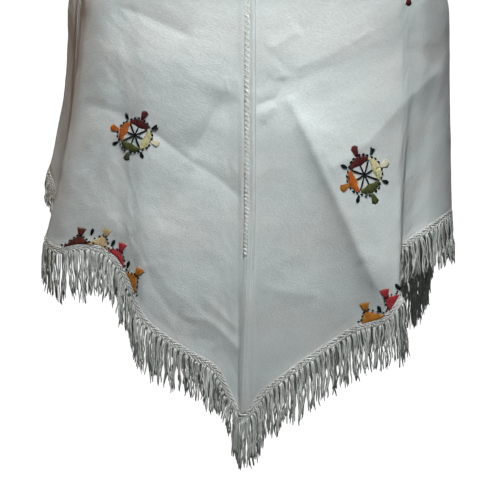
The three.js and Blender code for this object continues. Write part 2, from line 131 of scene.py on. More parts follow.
# Folds and creases of the front, in its upright plane. Each line is the crest of a ridge, or
# the floor of a trough where high is below 0. round is how rounded it is, left and right are
# how wide it falls away on its two sides, and fade is how soon its ends die out.
LONG_FOLDS = (
    # x0, z0, x1, z1, high, round, left, right, fade
    (54, -330, 181, -618, 12, 3, 26, 90, 84),  # right slant
    (-30, -318, -112, -520, -8, 3, 90, 34, 100),  # left slant
)
CREASES = (
    # high, round, left, right, fade, then the line's points: x, z
    # the two slants, their crisp edges
    (1.2, 0.6, 8, 12, 8, (54, -345), (120, -484), (158, -569)),
    (1.2, 0.6, 8, 12, 34, (50, -336), (120, -484), (174, -604)),
    (-3.2, 0.7, 20, 22, 30, (-34, -340), (-78, -430)),
    (-2.0, 1.2, 18, 22, 24, (-78, -430), (-102, -490), (-120, -522)),
    # where they cross, left of the seam
    (-0.6, 1.4, 12, 10, 12, (-32, -343), (-5, -359)),
    (0.8, 1.4, 8, 8, 8, (-25, -317), (-3, -331)),
    (-0.7, 1.2, 8, 9, 10, (-8, -275), (-25, -308)),
    (0.7, 0.8, 3, 3, 6, (-30, -317), (-25, -339)),
    # the upper left
    (0.5, 1.6, 12, 18, 20, (-102, -288), (-72, -316), (-52, -328)),
    (1.3, 8.0, 22, 22, 30, (-52, -348), (-84, -400)),
    (-3.8, 2.0, 34, 18, 30, (-184, -214), (-132, -236), (-76, -262)),
    (3.2, 7.0, 44, 26, 40, (-205, -268), (-146, -296), (-104, -306)),
    # the fold across the left, behind the wheel
    (-2.0, 1.0, 20, 14, 18, (-226, -347), (-176, -365), (-128, -390)),
    (-3.2, 0.7, 20, 12, 12, (-130, -389), (-102, -413), (-78, -430)),
    (-2.6, 0.8, 16, 14, 24, (-80, -429), (-42, -452), (-10, -482)),
    # wedges and leaves right of the seam
    (1.5, 1.6, 9, 14, 12, (29, -281), (50, -268), (72, -252)),
    (0.9, 1.0, 7, 7, 8, (32, -293), (52, -320)),
    (-0.9, 1.2, 7, 9, 8, (35, -289), (61, -312)),
    (-1.6, 0.6, 6, 5, 5, (11, -356), (38, -347), (47, -330), (46, -319)),
    (-1.1, 0.8, 9, 8, 6, (12, -337), (34, -317)),
    (1.2, 3.0, 10, 10, 10, (16, -362), (30, -372)),
    (0.9, 0.8, 8, 8, 6, (35, -354), (20, -380)),
    # the upper right
    (1.0, 2.5, 8, 20, 30, (56, -310), (113, -286), (148, -268)),
    (-3.0, 12.0, 36, 36, 40, (84, -338), (122, -398)),
    (-0.9, 1.6, 18, 9, 30, (54, -332), (72, -321), (122, -299)),
    (0.9, 0.8, 6, 6, 6, (146, -271), (170, -249)),
    (0.5, 0.8, 6, 6, 8, (157, -277), (181, -261)),
    (1.0, 3.0, 8, 8, 14, (221, -223), (252, -269)),
    (-1.0, 2.0, 10, 10, 14, (225, -269), (271, -297)),
    # the fold that runs down from the right to the right slant
    (3.4, 1.8, 26, 20, 34, (274, -294), (219, -344), (177, -393), (140, -426)),
    (2.2, 0.9, 18, 14, 12, (142, -425), (109, -444)),
    # the pinch beside the lobe, and the arcs that run out of it
    (1.5, 4.0, 8, 10, 20, (-181, -503), (-178, -539)),
    (-1.3, 1.4, 8, 8, 12, (-162, -529), (-146, -552), (-136, -574)),
    (-1.1, 1.0, 8, 10, 14, (-136, -574), (-128, -603), (-102, -637), (-70, -657)),
    (0.9, 1.5, 8, 9, 16, (-129, -569), (-108, -604), (-70, -629), (-29, -670)),
    # puckers of the lower left
    (2.0, 1.5, 9, 22, 14, (-94, -642), (-45, -649)),
    (-1.2, 2.0, 14, 7, 14, (-83, -672), (-40, -676)),
    (1.2, 1.2, 7, 7, 12, (-60, -615), (-12, -661)),
    (1.3, 1.4, 7, 7, 12, (-48, -645), (-10, -691)),
    (-1.0, 1.5, 7, 7, 12, (-74, -621), (-34, -659)),
    (-0.9, 1.6, 7, 7, 14, (-34, -682), (-8, -735)),
    (-1.9, 1.6, 9, 4, 40, (-9, -610), (-12, -690), (-12, -760)),
    # the lower right
    (0.8, 1.5, 10, 8, 20, (20, -604), (99, -616)),
    (-0.6, 1.2, 7, 7, 6, (69, -641), (88, -615)),
    (-1.2, 1.5, 8, 10, 14, (56, -709), (113, -676), (146, -657)),
)
# Folds and creases die out over these distances from the front towards the sides, and from
# the seam; the soft unevenness over these shares of the way down from the neck and the hem
FOLDS_FACE, FOLDS_CLEAR = 60.0, 25.0
CREASES_FACE, CREASES_CLEAR = 50.0, 7.0
NECK_CLEAR, HEM_CLEAR = 0.05, 0.02

# Upright folds of the left-hand side, where the front turns into a narrow strip: how many
# rows of the table from the front seam, height and width.
STRIP_FOLDS = (
    *((11.0, 1.0, 12.0), (11.5, -2.4, 5.0), (11.9, 1.8, 4.0)),
    *((12.25, -2.2, 5.0), (12.7, 1.6, 6.0), (13.0, -1.8, 7.0)),
)
STRIP_WAVER = 5.0  # how far they waver to either side on their way down
# Soft unevenness all over: height, how it is slanted on the flat cloth, how far apart, seed
SWELLS = (
    (0.75, (1, 0, 0, 1), 74, 11),
    (0.26, (1, 1, -1, 1), 37, 12),
    (0.10, (1, 0.6, 0, 1.9), 15, 13),
)
# The same, sharp-edged, all slanted one way: depth, how far apart, seed
CRUMPLE_SLANT = (0.8, 0.6, -0.6, 0.8)
CRUMPLES = ((1.1, 62, 14), (0.55, 31, 15), (0.2, 14, 16))
SHEET_HALF = 0.7  # half the cloth's thickness
HEM_ROLL = 8.0  # width of the turned edge at the neck
HEM_RIM = 0.0007  # share of the way down between the last two rows


def smooth(share):
    """0 to 1, easing in and out."""
    t = np.clip(share, 0.0, 1.0)
    return t * t * (3 - 2 * t)


def unit(vectors):
    """The same directions, at length 1."""
    return vectors / np.maximum(np.linalg.norm(vectors, axis=-1, keepdims=True), 1e-12)


def running_length(points):
    """How far along each line of points each of its points is."""
    steps = np.linalg.norm(np.diff(points, axis=-2), axis=-1)
    return np.concatenate([np.zeros_like(steps[..., :1]), steps.cumsum(axis=-1)], axis=-1)


def follow(at, run, field):
    """What a field of a line is at running lengths along it."""
    return np.stack([np.interp(at, run, part) for part in field.T], axis=-1)


def through_rows(knots, values, places):
    """Smooth curves through the rows of a table, each with its neighbours' parabola's slope."""
    gaps = np.diff(knots)
    steps = np.diff(values, axis=0) / gaps[:, None]
    share = (gaps[:-1] / (gaps[:-1] + gaps[1:]))[:, None]
    middle = steps[:-1] * (1 - share) + steps[1:] * share
    slopes = np.vstack([2 * steps[0] - middle[0], middle, 2 * steps[-1] - middle[-1]])
    i = np.clip(np.searchsorted(knots, places) - 1, 0, len(gaps) - 1)
    span = gaps[i][:, None]
    t = ((places - knots[i]) / gaps[i])[:, None]
    return (
        (2 * t**3 - 3 * t**2 + 1) * values[i]
        + (t**3 - 2 * t**2 + t) * span * slopes[i]
        + (3 * t**2 - 2 * t**3) * values[i + 1]
        + (t**3 - t**2) * span * slopes[i + 1]
    )


def ridges(rows, x, z):
    """How far a table of ridges and troughs stands out at places in the front's plane."""
    height = np.zeros_like(x)
    for x0, z0, x1, z1, high, round_, left, right, fade in rows:
        dx, dz = x1 - x0, z1 - z0
        length = math.hypot(dx, dz)
        along = ((x - x0) * dx + (z - z0) * dz) / length
        across = ((x - x0) * -dz + (z - z0) * dx) / length
        wide = np.where(across < 0, left, right)
        away = np.hypot(across, round_) - round_
        ends = smooth(along / fade) * smooth((length - along) / fade + 0.5)
        height += high * np.exp(-away / wide) * ends
    return height


def creases(rows, x, z):
    """The same for a table of short creases, each along its own bent line."""
    height = np.zeros_like(x)
    for high, round_, left, right, fade, *line in rows:
        line = np.array(line, float)
        reach = 6 * max(left, right)
        low, top = line.min(axis=0) - reach, line.max(axis=0) + reach
        near = (x > low[0]) & (x < top[0]) & (z > low[1]) & (z < top[1])
        px, pz = x[near], z[near]
        best = np.full(px.shape, np.inf)
        wide, along = np.ones(px.shape), np.zeros(px.shape)
        lengths = np.linalg.norm(np.diff(line, axis=0), axis=1)
        start = np.cumsum([0.0, *lengths])
        for k, length in enumerate(lengths):
            dx, dz = (line[k + 1] - line[k]) / length
            run = (px - line[k, 0]) * dx + (pz - line[k, 1]) * dz
            side = (px - line[k, 0]) * -dz + (pz - line[k, 1]) * dx
            away = np.hypot(side, run - np.clip(run, 0, length))
            closer = away < best
            best = np.where(closer, away, best)
            wide = np.where(closer, np.where(side < 0, left, right), wide)
            along = np.where(closer, start[k] + run, along)
        ends = smooth(along / fade + 0.3) * smooth((start[-1] - along) / fade + 0.3)
        height[near] += high * np.exp(-(np.hypot(best, round_) - round_) / wide) * ends
    return height


def seam_drift(x, z):
    """How far the cloth beside the front seam stands to one side."""
    share = smooth((SEAM_DRIFT_FROM - z) / SEAM_DRIFT_OVER)
    return (SEAM_ASIDE - SEAM_DRIFT * share) * np.exp(-((x / SEAM_DRIFT_REACH) ** 2))


def value_noise(s, t, size, seed):
    """Soft seeded bumps between -1 and 1, about `size` apart."""
    cells = 64
    grid = np.random.default_rng(seed).uniform(-1, 1, (cells, cells))
    a, b = s / size, t / size
    i, j = np.floor(a).astype(int), np.floor(b).astype(int)
    u, v = smooth(a - i), smooth(b - j)
    corner = lambda di, dj: grid[(i + di) % cells, (j + dj) % cells]
    low = corner(0, 0) * (1 - u) + corner(1, 0) * u
    high = corner(0, 1) * (1 - u) + corner(1, 1) * u
    return low * (1 - v) + high * v


class Cloth:
    """One panel of the shawl as a fine grid: place along the hem by share of the way down."""

    FINE_STEP, COARSE_STEP = 2.8, 9.0  # between columns of the front, and of the back
    SIDE_RIM = 0.5  # between the first two columns, and the last two
    # share of the way down at the foot of each band of rows, and the rows in it
    ROW_BANDS = ((0.25, 22), (0.62, 92), (1.0, 76))
    STRIP_WIDTH = 600.0
    MITRE = math.tan(math.radians(30))

    def __init__(self, name, sign, neck_half, sections):
        self.name, self.sign, self.neck_half = name, sign, neck_half
        self.rows = np.array(sections, float)
        self.knots = running_length(self.rows[:, HEM_X : HEM_Z + 1])
        self.length = self.knots[-1]
        self.side = self.knots[np.argmax(np.abs(self.rows[:, HEM_X]))]
        back_length = self.length - self.side
        front = np.linspace(0, self.side, int(self.side / self.FINE_STEP) + 1)
        back = np.linspace(self.side, self.length, int(back_length / self.COARSE_STEP) + 1)
        inner = [self.SIDE_RIM, *front[1:], *back[1:-1], self.length - self.SIDE_RIM]
        self.places = np.array([0.0, *inner, self.length])
        downs = [0.0]
        for foot, rows in self.ROW_BANDS:
            downs.extend(np.linspace(downs[-1], foot, rows + 1)[1:])
        self.downs = np.array([*downs[:-1], 1 - HEM_RIM, 1])
        self.flat = self.flat_places()
        bare = self.middle()
        self.mid = bare + self.directions(bare)[2] * self.relief(bare)[..., None]
        self.along, self.fall, self.out = self.directions(self.mid)

    def column_at(self, places):
        return np.interp(places, self.places, np.arange(len(self.places)))

    def row_at(self, downs):
        return np.interp(downs, self.downs, np.arange(len(self.downs)))

    def middle(self):
        """The middle of the cloth's thickness, as the CAD model has it."""
        at = through_rows(self.knots, self.rows, self.places)
        from_seam = (np.abs(at[:, BODY_X]) - SEAM_EDGE) / BODY_HALF_WIDTH
        turn = np.arctan2(from_seam, -at[:, BODY_Y] / BODY_HALF_DEPTH)
        front = np.cos(turn) > 0
        reach = np.where(front, NECK_FRONT, NECK_BACK)
        dip = np.where(front, NECK_DIP_FRONT, NECK_DIP_BACK)
        aside = self.sign * (SEAM_EDGE + (self.neck_half - SEAM_EDGE) * np.sin(turn))
        neck = np.stack([aside, -reach * np.cos(turn), -dip * np.cos(turn) ** 2], axis=1)
        body = np.stack([at[:, BODY_X], at[:, BODY_Y], np.full(len(at), BODY_LEVEL)], axis=1)
        neck, body, hem = neck[:, None], body[:, None], at[:, None, HEM_X : HEM_Z + 1]
        w = (np.arange(COLUMN_STEPS + 1) / COLUMN_STEPS)[None, :, None]
        outward = np.sin(w * math.pi / 2)
        fall = SHOULDER_SLOPE * outward + (1 - SHOULDER_SLOPE) * (1 - np.cos(w * math.pi / 2))
        upper = neck + (body - neck) * np.concatenate([outward, outward, fall], axis=2)
        w = w[:, 1:]
        swing = w ** at[:, LATE][:, None, None]
        lower = body + (hem - body) * np.concatenate([swing, swing, w + 0 * swing], axis=2)
        columns = np.concatenate([upper, lower], axis=1)
        run = running_length(columns)
        self.fall_length = run[:, -1]
        points = [follow(self.downs * way[-1], way, line) for way, line in zip(run, columns)]
        x, y, z = np.moveaxis(np.array(points), 2, 0)
        facing = smooth(-y / FOLDS_FACE - 0.5)
        clear = smooth((np.abs(x) - SEAM_EDGE) / FOLDS_CLEAR)
        folded = y - ridges(LONG_FOLDS, x, z) * facing * clear
        return np.stack([x + seam_drift(x, z) * facing, folded, z], axis=2)

    def relief(self, points):
        """Creases and soft unevenness, proud of the CAD model's cloth."""
        x, y, z = np.moveaxis(points, 2, 0)
        facing = smooth(-y / CREASES_FACE - 0.5)
        clear = smooth((np.abs(x) - SEAM_EDGE) / CREASES_CLEAR)
        soft = 0.0
        for high, slant, size, seed in SWELLS:
            soft = soft + high * self.unevenness(slant, size, seed)
        for high, size, seed in CRUMPLES:
            soft = soft - high * np.abs(self.unevenness(CRUMPLE_SLANT, size, seed))
        if self.sign < 0:
            for k, (row, high, wide) in enumerate(STRIP_FOLDS):
                place = np.interp(row, np.arange(len(self.knots)), self.knots)
                place = place + STRIP_WAVER * np.sin(self.downs * (13 + 2 * k) + 2.1 * k)
                away = np.hypot(self.places[:, None] - place[None], 1.0) - 1.0
                soft = soft + high * np.exp(-away / wide)
        edge = smooth(self.downs / NECK_CLEAR) * smooth((1 - self.downs) / HEM_CLEAR)
        return (creases(CREASES, x, z) * facing + soft * edge[None]) * clear

    def unevenness(self, slant, size, seed):
        """Noise on the flat cloth, slanted by the four numbers of a two-by-two table."""
        s, t = self.flat[..., 0], self.flat[..., 1]
        a, b, c, d = slant
        return value_noise(a * s + b * t, c * s + d * t, size, seed)

    def flat_places(self):
        """Where each point of the grid lies on the flat mitred strip, in millimetres."""
        up = (1 - self.downs)[None] * self.STRIP_WIDTH
        inset = up * self.MITRE
        share = (self.places / self.length)[:, None]
        along = inset + (self.length - 2 * inset) * share
        return np.stack([along, up + 0 * share], axis=2)

    def directions(self, grid):
        """Along the hem, down the cloth and outward, at each point of a grid."""
        along = unit(np.gradient(grid, self.places, axis=0))
        fall = unit(np.gradient(grid, axis=1))
        out = unit(np.cross(along, fall)) * -self.sign
        return along, fall, out

    def sample(self, field, i, j):
        """A field of the grid at fractional rows and columns."""
        i = np.clip(i, 0, field.shape[0] - 1.001)
        j = np.clip(j, 0, field.shape[1] - 1.001)
        i0, j0 = np.floor(i).astype(int), np.floor(j).astype(int)
        a, b = (i - i0)[..., None], (j - j0)[..., None]
        upper = field[i0, j0] * (1 - a) + field[i0 + 1, j0] * a
        lower = field[i0, j0 + 1] * (1 - a) + field[i0 + 1, j0 + 1] * a
        return upper * (1 - b) + lower * b

    def on_front(self, x, z, proud=0.0):
        """Points and outward directions of the front, by place in its upright plane."""
        x, z = np.asarray(x, float), np.asarray(z, float)
        last = int(np.searchsorted(self.places, self.side))
        near = self.mid[:last]
        behind = (near[..., 1] > -20) * 1e6  # keeps the search on the front
        i, j = np.empty(x.shape), np.empty(x.shape)
        for k in np.ndindex(x.shape):
            gap = (near[..., 0] - x[k]) ** 2 + (near[..., 2] - z[k]) ** 2
            i[k], j[k] = np.unravel_index(np.argmin(gap + behind), gap.shape)
        for _ in range(4):  # from the nearest point of the grid to the exact place
            i, j = np.clip(i, 0.6, len(near) - 1.6), np.clip(j, 0.6, near.shape[1] - 1.6)
            at = self.sample(self.mid, i, j)
            di = self.sample(self.mid, i + 0.5, j) - self.sample(self.mid, i - 0.5, j)
            dj = self.sample(self.mid, i, j + 0.5) - self.sample(self.mid, i, j - 0.5)
            ex, ez = x - at[..., 0], z - at[..., 2]
            size = di[..., 0] * dj[..., 2] - dj[..., 0] * di[..., 2]
            i = i + (ex * dj[..., 2] - dj[..., 0] * ez) / size
            j = j + (di[..., 0] * ez - ex * di[..., 2]) / size
        return self.lifted(i, j, proud)

    def lifted(self, i, j, proud):
        """Points proud of the cloth's middle, and their outward directions."""
        out = unit(self.sample(self.out, i, j))
        return self.sample(self.mid, i, j) + out * np.asarray(proud)[..., None], out


# ==== Meshes ====
UV_NAME, TONE_NAME = "cloth", "tone"


def build_mesh(name, points, quads, tris, uv, materials, paints=None, tones=None):
    """An object from points in millimetres. uv is one row for each corner of each face."""
    quads, tris = np.asarray(quads, int).reshape(-1, 4), np.asarray(tris, int).reshape(-1, 3)
    corners = np.concatenate([quads.ravel(), tris.ravel()])
    starts = np.concatenate([np.arange(len(quads)) * 4, quads.size + np.arange(len(tris)) * 3])
    mesh = bpy.data.meshes.new(name)
    mesh.vertices.add(len(points))
    mesh.vertices.foreach_set("co", (np.asarray(points) * MM).astype(np.float32).ravel())
    mesh.loops.add(len(corners))
    mesh.loops.foreach_set("vertex_index", corners.astype(np.int32))
    mesh.polygons.add(len(starts))
    mesh.polygons.foreach_set("loop_start", starts.astype(np.int32))
    mesh.update(calc_edges=True)
    mesh.polygons.foreach_set("use_smooth", np.ones(len(starts), bool))
    layer = mesh.uv_layers.new(name=UV_NAME)
    layer.data.foreach_set("uv", np.asarray(uv, np.float32).ravel())
    for material in materials:
        mesh.materials.append(material)
    if paints is not None:
        mesh.polygons.foreach_set("material_index", np.asarray(paints, np.int32))
    if tones is not None:
        layer = mesh.attributes.new(TONE_NAME, "FLOAT", "POINT")
        layer.data.foreach_set("value", np.asarray(tones, np.float32))
    obj = bpy.data.objects.new(name, mesh)
    bpy.context.scene.collection.objects.link(obj)
    return obj


def closed_sheet(name, outer, inner, flat, material):
    """A closed sheet between two faces of matching points, columns by rows."""
    count, depth = outer.shape[:2]
    points = np.concatenate([outer.reshape(-1, 3), inner.reshape(-1, 3)])
    index = np.arange(count * depth).reshape(count, depth)
    face = np.stack([index[:-1, :-1], index[1:, :-1], index[1:, 1:], index[:-1, 1:]], axis=-1)
    face = face.reshape(-1, 4)
    rim = np.concatenate([index[:, 0], index[-1, 1:], index[-2::-1, -1], index[0, -2:0:-1]])
    after = np.roll(rim, -1)
    edge = np.stack([after, rim, rim + index.size, after + index.size], axis=1)
    quads = np.concatenate([face, face[:, ::-1] + index.size, edge])
    a, b, c, d = (points[quads[:, k]] for k in range(4))
    if np.sum(a * (np.cross(b, c) + np.cross(c, d))) < 0:  # the volume: turned inside out
        quads = quads[:, ::-1]
    both = np.tile(flat.reshape(-1, 2), (2, 1)) * MM
    return build_mesh(name, points, quads, [], both[quads.ravel()], [material])


@functools.lru_cache(maxsize=None)
def tube_faces(rings, sides):
    """Faces and their uv for one closed strand: its rings in order, then its two poles."""
    k, j = np.divmod(np.arange((rings - 1) * sides), sides)
    at = np.stack([k, k + 1, k + 1, k], axis=1)
    turn = np.stack([j, j, j + 1, j + 1], axis=1)
    j = j[:sides]
    tri_at = np.repeat([[0] * 3, [rings - 1] * 3], sides, axis=0)
    tri_turn = np.concatenate([np.stack([j, j, j + 1], 1), np.stack([j, j + 1, j], 1)])
    quads, tris = at * sides + turn % sides, tri_at * sides + tri_turn % sides
    tris[:, 0] = rings * sides + np.repeat([0, 1], sides)
    return quads, at, turn / sides, tris, tri_at, tri_turn / sides


class Yarn:
    """Gathers many closed strands into one mesh."""

    POLE_REACH = 0.3  # from a strand's last ring to its pole, as a share of its width

    def __init__(self):
        self.parts, self.count = [], 0

    def add(self, paths, ups, wide, thick, paint=0, tones=0.5, sides=6):
        """Strands along paths of points, `wide` across and `thick` along the `ups`."""
        paths = np.asarray(paths, float)
        if paths.ndim == 2:
            paths = paths[None]
        many, rings = paths.shape[:2]
        tangent = unit(np.gradient(paths, axis=1))
        side = unit(np.cross(tangent, np.broadcast_to(ups, paths.shape)))
        top = np.cross(side, tangent)[:, :, None]
        wide, thick = (
            np.broadcast_to(size, (many, rings))[..., None, None] for size in (wide, thick)
        )
        angle = (2 * math.pi * np.arange(sides) / sides)[None, None, :, None]
        ring = side[:, :, None] * np.cos(angle) * wide / 2 + top * np.sin(angle) * thick / 2
        ring = ring + paths[:, :, None]
        poles = [
            paths[:, end] + way * tangent[:, end] * wide[:, end, 0] * self.POLE_REACH
            for end, way in ((0, -1), (-1, 1))
        ]
        points = np.concatenate([ring.reshape(many, -1, 3), np.stack(poles, axis=1)], axis=1)
        per = points.shape[1]
        offset = self.count + np.arange(many)[:, None, None] * per
        self.count += many * per
        quads, at, turn, tris, tri_at, tri_turn = tube_faces(rings, sides)
        run = running_length(paths) * MM
        spin = lambda table: np.broadcast_to(table, (many,) + table.shape)
        paint, tones = np.broadcast_to(paint, (many,)), np.broadcast_to(tones, (many,))
        self.parts.append(
            (
                points.reshape(-1, 3),
                (quads[None] + offset).reshape(-1, 4),
                (tris[None] + offset).reshape(-1, 3),
                np.stack([run[:, at], spin(turn)], axis=-1).reshape(-1, 2),
                np.stack([run[:, tri_at], spin(tri_turn)], axis=-1).reshape(-1, 2),
                np.repeat(paint, len(quads)),
                np.repeat(paint, len(tris)),
                np.repeat(tones, per),
            )
        )

    def mesh(self, name, materials):
        join = np.concatenate
        points, quads, tris, uv, tri_uv, paint, tri_paint, tones = map(join, zip(*self.parts))
        uv, paint = join([uv, tri_uv]), join([paint, tri_paint])
        return build_mesh(name, points, quads, tris, uv, materials, paint, tones)


# ==== Materials ====
class Nodes:
    """A short way to write a material's node tree."""

    def __init__(self, name, **looks):
        self.material = bpy.data.materials.new(name)
        self.material.use_nodes = True
        self.tree = self.material.node_tree
        self.shader = self.tree.nodes["Principled BSDF"]
        self.fit(self.shader, {key.replace("_", " "): value for key, value in looks.items()})

    def fit(self, node, inputs):
        """Links a node's inputs to sockets, or sets their values."""
        for key, value in inputs.items():
            if isinstance(value, bpy.types.NodeSocket):
                self.tree.links.new(value, node.inputs[key])
            else:
                node.inputs[key].default_value = value

    def new(self, kind, inputs, output=0, **settings):
        """An output of a new node."""
        node = self.tree.nodes.new("ShaderNode" + kind)
        for key, value in settings.items():
            setattr(node, key, value)
        self.fit(node, inputs)
        return node.outputs[output]

    def math(self, operation, *inputs):
        return self.new("Math", dict(enumerate(inputs)), operation=operation)

    def swayed(self, value, *sways):
        """A value with others added to it: each with its mean and its weight."""
        for other, mean, weight in sways:
            off = self.math("SUBTRACT", other, mean)
            value = self.math("ADD", value, self.math("MULTIPLY", off, weight))
        return value

    def uv(self):
        """Where a place is on the cloth or the strand, in metres, and its two parts."""
        where = self.new("UVMap", {}, uv_map=UV_NAME)
        return where, *(self.new("SeparateXYZ", {0: where}, part) for part in (0, 1))

    def noise(self, where, scale, detail=2.0, roughness=0.5):
        inputs = {"Vector": where, "Scale": scale, "Detail": detail, "Roughness": roughness}
        return self.new("TexNoise", inputs)

    def drawn_noise(self, where, scales, detail=2.0):
        """Noise that is drawn out, with a scale for each direction."""
        where = self.new("VectorMath", {0: where, 1: scales}, operation="MULTIPLY")
        return self.noise(where, 1.0, detail)

    def spread(self, value, low, high):
        """0 at a low value, 1 at a high one, and no further."""
        return self.new("MapRange", {0: value, 1: low, 2: high, 3: 0.0, 4: 1.0})

    def mixed(self, share, first, second):
        return self.new("Mix", {"Factor": share, 6: first, 7: second}, 2, data_type="RGBA")

    def tint(self, share, dark, light):
        return self.mixed(share, (*dark, 1), (*light, 1))

    def bump(self, height, distance, strength, **under):
        inputs = {"Strength": strength, "Distance": distance, "Height": height, **under}
        return self.new("Bump", inputs)

    def finished(self, colour, normal):
        self.fit(self.shader, {"Base Color": colour, "Normal": normal})
        return self.material


WEAVE_PITCH = 0.0013  # between the middles of two threads, in metres
# dark and light ends of the cloth's two shades
COOL = ((0.508, 0.562, 0.554), (0.675, 0.752, 0.742))
GREYER = ((0.520, 0.550, 0.538), (0.690, 0.738, 0.722))


def woven_material(name):
    """Plain weave with slubs: threads of two directions that go over and under each other.
    Its colour drifts from place to place between a cool and a greyer shade."""
    n = Nodes(name, Roughness=0.92, Sheen_Weight=0.25, Sheen_Roughness=0.45)
    where, s, t = n.uv()
    over, under = (
        n.math("SINE", n.math("MULTIPLY", way, math.pi / WEAVE_PITCH)) for way in (s, t)
    )
    checks = n.spread(n.math("MULTIPLY", over, under), -0.5, 0.5)
    warp = n.math("MULTIPLY", n.math("ABSOLUTE", over), checks)
    weft = n.math("MULTIPLY", n.math("ABSOLUTE", under), n.math("SUBTRACT", 1.0, checks))
    weave = n.math("ADD", warp, weft)
    slub_s, slub_t = (n.drawn_noise(where, scales) for scales in ((90, 620, 1), (620, 90, 1)))
    slubs = n.math("ADD", slub_s, slub_t)
    felt = n.noise(where, scale=380.0, detail=4.0, roughness=0.6)
    cloud = n.noise(where, scale=14.0, detail=3.0, roughness=0.55)
    tone = n.swayed(cloud, (felt, 0.5, 0.9), (slubs, 1.0, 0.28), (weave, 0.6, 0.22))
    share = n.spread(tone, low=0.15, high=0.85)
    greyed = n.spread(n.noise(where, scale=11.0), low=0.42, high=0.62)
    colour = n.mixed(greyed, n.tint(share, *COOL), n.tint(share, *GREYER))
    normal = n.bump(felt, distance=0.0006, strength=0.6)
    normal = n.bump(slubs, distance=0.0002, strength=0.5, Normal=normal)
    normal = n.bump(weave, distance=0.00016, strength=0.6, Normal=normal)
    return n.finished(colour, normal)


def thread_material(name, dark, light, roughness, ply=0.0035, sheen=0.2, gloss=0.5):
    """Twisted thread: plies that wind round the strand, with a little colour change."""
    n = Nodes(name, Roughness=roughness, Sheen_Weight=sheen, Sheen_Roughness=0.35)
    n.fit(n.shader, {"Specular IOR Level": gloss})
    where, along, turn = n.uv()
    wind = n.math("ADD", n.math("MULTIPLY", along, 1 / ply), turn)
    plies = n.math("ABSOLUTE", n.math("SINE", n.math("MULTIPLY", wind, 2 * math.pi)))
    fibre = n.drawn_noise(where, (140, 5, 1), detail=3.0)
    own = n.new("Attribute", {}, "Fac", attribute_name=TONE_NAME)
    tone = n.swayed(own, (fibre, 0.5, 0.8), (plies, 0.6, 0.3))
    colour = n.tint(n.spread(tone, low=0.0, high=1.0), dark, light)
    twist = n.bump(n.math("ADD", plies, fibre), distance=0.0002, strength=0.7)
    return n.finished(colour, twist)


def studio_material(name, colour, glow):
    """Matt paint with a faint grain, which shines a little by itself."""
    n = Nodes(name, Roughness=0.9, Emission_Color=(1, 1, 1, 1), Emission_Strength=glow)
    where = n.new("NewGeometry", {}, "Position")
    darker = [0.97 * part for part in colour]
    tint = n.tint(n.noise(where, scale=3.0, detail=4.0), darker, colour)
    return n.finished(tint, n.bump(n.noise(where, scale=220.0), distance=0.0003, strength=0.2))


# name: dark and light ends of the thread's colour
THREAD_COLOURS = {
    "maroon": ((0.050, 0.010, 0.011), (0.14, 0.026, 0.026)),
    "brown": ((0.055, 0.014, 0.010), (0.14, 0.036, 0.026)),
    "orange": ((0.34, 0.075, 0.010), (0.64, 0.165, 0.022)),
    "amber": ((0.30, 0.10, 0.010), (0.62, 0.25, 0.035)),
    "straw": ((0.52, 0.49, 0.24), (0.78, 0.74, 0.42)),
    "tan": ((0.36, 0.26, 0.13), (0.68, 0.53, 0.31)),
    "cream": ((0.58, 0.54, 0.38), (0.82, 0.78, 0.60)),
    "olive": ((0.038, 0.048, 0.012), (0.105, 0.125, 0.034)),
    "moss": ((0.035, 0.042, 0.026), (0.095, 0.105, 0.065)),
    "red": ((0.24, 0.018, 0.022), (0.50, 0.050, 0.055)),
    "navy": ((0.002, 0.004, 0.006), (0.010, 0.014, 0.020)),
}
PAINTS = {name: k for k, name in enumerate(THREAD_COLOURS)}

cloth_material = woven_material("handwoven_cloth")
seam_material = thread_material("seam_thread", (0.39, 0.41, 0.385), (0.71, 0.735, 0.705), 0.75)
# the dark end, near black, is painted shade for the strands in the fringe's gaps; the light end
# is the thread's own pale colour
fringe_colour_and_shade = (0.12, 0.13, 0.12), (0.80, 0.85, 0.80)
fringe_material = thread_material("fringe_thread", *fringe_colour_and_shade, 0.5, sheen=0.15)
embroidery_materials = [
    thread_material(f"embroidery_{name}", dark, light, 0.7, ply=0.003, sheen=0.0, gloss=0.15)
    for name, (dark, light) in THREAD_COLOURS.items()
]


# ==== The two panels ====
left = Cloth("left", -1, 96.0, LEFT_SECTIONS)
right = Cloth("right", 1, 104.0, RIGHT_SECTIONS)
HEM_THICKER = 0.6  # what the turned edge at the neck adds to half the thickness
NECK_ROUNDING = 1.6  # over how much it thins out again to its very edge


def make_panel(cloth):
    """The thin cloth, a little thicker along the turned edge at the neck."""
    from_neck = cloth.downs[None] * cloth.fall_length[:, None]
    half = SHEET_HALF + HEM_THICKER * smooth((HEM_ROLL - from_neck) / 1.5 + 0.5)
    half *= 1 - 0.55 * smooth((NECK_ROUNDING - from_neck) / NECK_ROUNDING)
    offset = cloth.out * half[..., None]
    faces = cloth.mid + offset, cloth.mid - offset
    return closed_sheet(f"cloth_{cloth.name}", *faces, cloth.flat, cloth_material)


